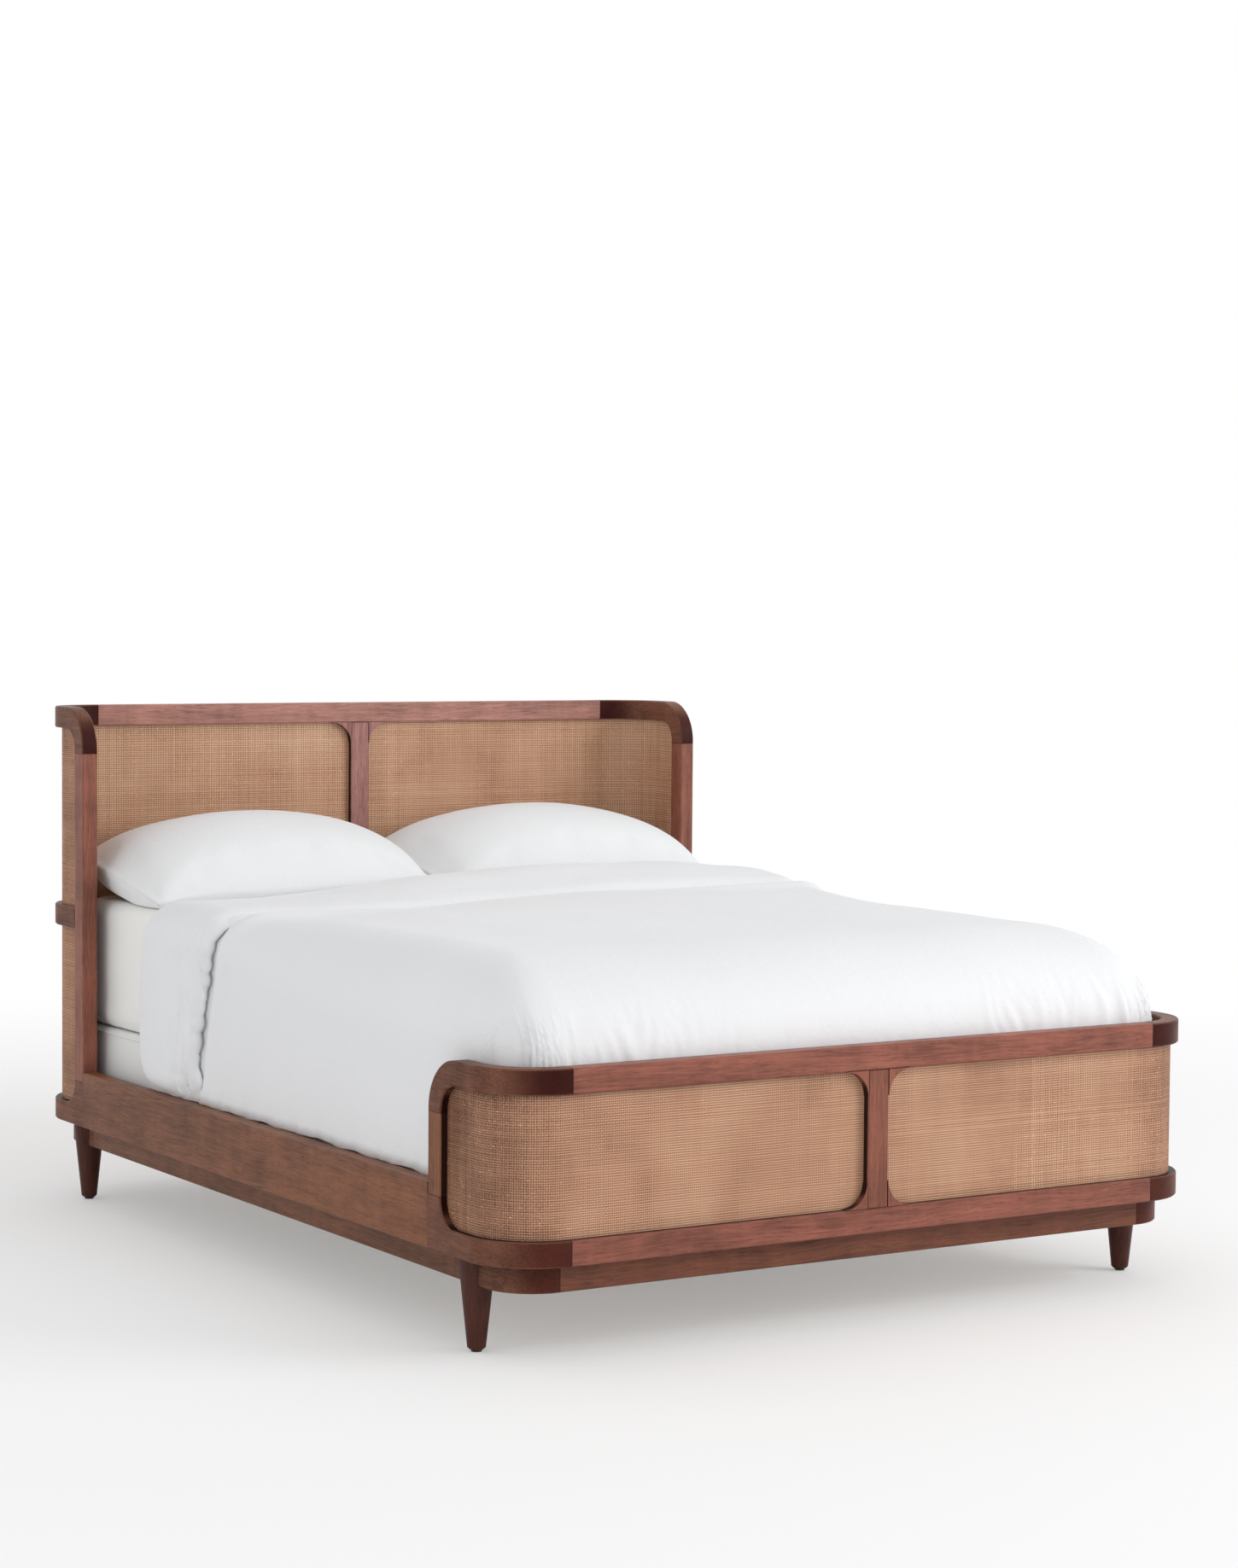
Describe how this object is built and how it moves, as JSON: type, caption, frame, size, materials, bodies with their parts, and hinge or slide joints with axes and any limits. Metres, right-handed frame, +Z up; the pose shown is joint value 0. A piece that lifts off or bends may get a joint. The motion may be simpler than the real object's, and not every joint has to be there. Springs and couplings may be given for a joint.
{
  "type": "wooden bed",
  "caption": "Timber bed with bent, cane-filled headboard and footboard, side rails, slats, set-back plinth and tapered legs, dressed with foundation, mattress, duvet and pillows.",
  "frame": {"origin": "on the floor at the middle of the bed's length and width", "axes": "+X to the right seen from the foot of the bed, +Y from the footboard to the headboard, +Z up"},
  "size_m": [1.64, 2.183, 1.13],
  "materials": {
    "walnut": "satin",
    "cane": "matte",
    "panel_core": "matte",
    "slat_timber": "matte",
    "bracket_steel": "satin",
    "glide_plastic": "matte",
    "foundation_cloth": "matte",
    "mattress_cloth": "matte",
    "duvet_cloth": "matte",
    "pillow_cloth": "matte"
  },
  "bodies": {
    "bed_frame": {"centre_beam": "slat_timber", "centre_legs": "slat_timber", "footboard_bottom_corner_left": "walnut", "footboard_bottom_corner_right": "walnut", "footboard_bottom_rail": "walnut", "footboard_centre_stile": "walnut", "footboard_core_left": "panel_core", "footboard_core_right": "panel_core", "footboard_coves": "walnut", "footboard_end_stile_left": "walnut", "footboard_end_stile_right": "walnut", "footboard_inner_cane": "cane", "footboard_outer_cane": "cane", "footboard_top_corner_left": "walnut", "footboard_top_corner_right": "walnut", "footboard_top_rail": "walnut", "front_plinth": "walnut", "front_plinth_corner_left": "walnut", "front_plinth_corner_right": "walnut", "headboard_bottom_corner_left": "walnut", "headboard_bottom_corner_right": "walnut", "headboard_bottom_rail": "walnut", "headboard_centre_stile": "walnut", "headboard_core_left": "panel_core", "headboard_core_right": "panel_core", "headboard_coves": "walnut", "headboard_inner_cane": "cane", "headboard_mid_corner_left": "walnut", "headboard_mid_corner_right": "walnut", "headboard_mid_rail_left": "walnut", "headboard_mid_rail_right": "walnut", "headboard_outer_cane": "cane", "headboard_top_corner_left": "walnut", "headboard_top_corner_right": "walnut", "headboard_top_rail": "walnut", "headboard_wing_stile_left": "walnut", "headboard_wing_stile_right": "walnut", "ledgers": "slat_timber", "leg_blocks": "slat_timber", "leg_front_left": "walnut", "leg_front_right": "walnut", "leg_glides": "glide_plastic", "leg_rear_left": "walnut", "leg_rear_right": "walnut", "rail_brackets": "bracket_steel", "rear_plinth": "walnut", "rear_plinth_corner_left": "walnut", "rear_plinth_corner_right": "walnut", "side_plinth_left": "walnut", "side_plinth_right": "walnut", "side_rail_left": "walnut", "side_rail_right": "walnut", "slats": "slat_timber"},
    "foundation": {"foundation": "foundation_cloth"},
    "mattress": {"mattress": "mattress_cloth"},
    "duvet": {"duvet": "duvet_cloth"},
    "pillow_left": {"pillow_left": "pillow_cloth"},
    "pillow_right": {"pillow_right": "pillow_cloth"}
  },
  "joints": [
    {"name": "foundation_lift", "type": "slide", "parent": "bed_frame", "child": "foundation", "axis": [0, 0, 1], "range_m": [0, 0.35]},
    {"name": "mattress_lift", "type": "slide", "parent": "foundation", "child": "mattress", "axis": [0, 0, 1], "range_m": [0, 0.35]},
    {"name": "duvet_lift", "type": "slide", "parent": "mattress", "child": "duvet", "axis": [0, 0, 1], "range_m": [0, 0.45]},
    {"name": "pillow_left_lift", "type": "slide", "parent": "mattress", "child": "pillow_left", "axis": [0, 0, 1], "range_m": [0, 0.3]},
    {"name": "pillow_right_lift", "type": "slide", "parent": "mattress", "child": "pillow_right", "axis": [0, 0, 1], "range_m": [0, 0.3]}
  ]
}
